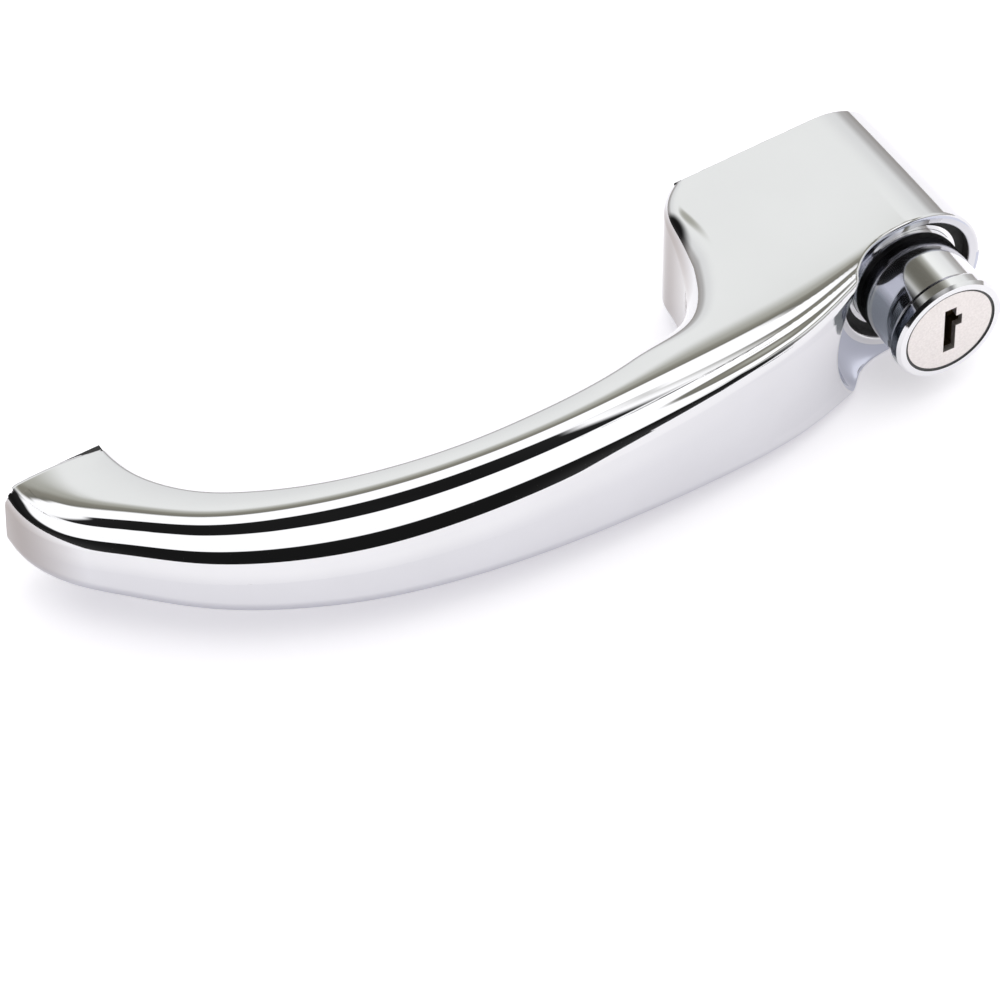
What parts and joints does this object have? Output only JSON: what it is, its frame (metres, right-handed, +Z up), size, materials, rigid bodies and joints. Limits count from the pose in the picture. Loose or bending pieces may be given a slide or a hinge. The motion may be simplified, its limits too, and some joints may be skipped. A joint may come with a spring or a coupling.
{
  "type": "car door handle",
  "caption": "Chrome bow-shaped car door handle with a foot at one end and a keyed push button in the boss at the other.",
  "frame": {"origin": "centre of the mouth of the boss's threaded hole, on the plane of the door skin", "axes": "+X runs along the handle from the foot to the button, -Y points out of the door towards the hand, +Z is up with the key slot upright"},
  "size_m": [0.1735, 0.0532, 0.03],
  "materials": {
    "body_chrome": "mirror polished chrome plate",
    "bush_chrome": "polished chrome plate",
    "button_chrome": "polished chrome plate",
    "pad_rubber": "matt moulded",
    "wiper_rubber": "matt moulded",
    "bezel_black": "matt",
    "cap_satin": "fine satin",
    "insert_steel": "zinc plated",
    "lock_brass": "machined",
    "sleeve_brass": "machined",
    "wafer_brass": "stamped",
    "spring_steel": "phosphated",
    "zinc_plate": "zinc plated",
    "screw_steel": "zinc plated",
    "plunger_zinc": "cast zinc alloy",
    "rod_steel": "zinc plated",
    "nut_steel": "yellow zinc plated",
    "tip_nylon": "natural nylon",
    "coil_steel": "spring wire",
    "seat_steel": "zinc plated",
    "clip_steel": "phosphated"
  },
  "bodies": {
    "handle": {"handle_body": "body_chrome", "boss_pad": "pad_rubber", "foot_pad": "pad_rubber", "boss_insert": "insert_steel", "foot_insert": "insert_steel", "guide_bush": "bush_chrome", "wiper_ring": "wiper_rubber", "return_spring": "coil_steel", "spring_seat": "seat_steel", "retaining_circlip": "clip_steel"},
    "button": {"button_barrel": "button_chrome", "bezel_ring": "bezel_black", "lock_sleeve": "sleeve_brass", "plunger_head": "plunger_zinc", "push_rod": "rod_steel", "rod_lock_nut": "nut_steel", "rod_tip": "tip_nylon"},
    "plug": {"key_plug": "lock_brass", "plug_cap": "cap_satin", "plug_clip": "spring_steel", "tail_plate": "zinc_plate", "tail_screw": "screw_steel"},
    "wafers": {"tumbler_wafers": "wafer_brass"}
  },
  "joints": [
    {"name": "button_press", "type": "slide", "parent": "handle", "child": "button", "axis": [0, 1, 0], "range_m": [0, 0.008], "stiffness_N_per_m": 900, "springref_m": -0.006, "deforming": ["return_spring"]},
    {"name": "key_turn", "type": "hinge", "parent": "button", "child": "plug", "pos_m": [0.021, -0.03, 0], "axis": [0, 1, 0], "range_deg": [-90, 0]},
    {"name": "wafer_drop", "type": "slide", "parent": "plug", "child": "wafers", "axis": [0, 0, 1], "range_m": [-0.0005, 0]}
  ]
}
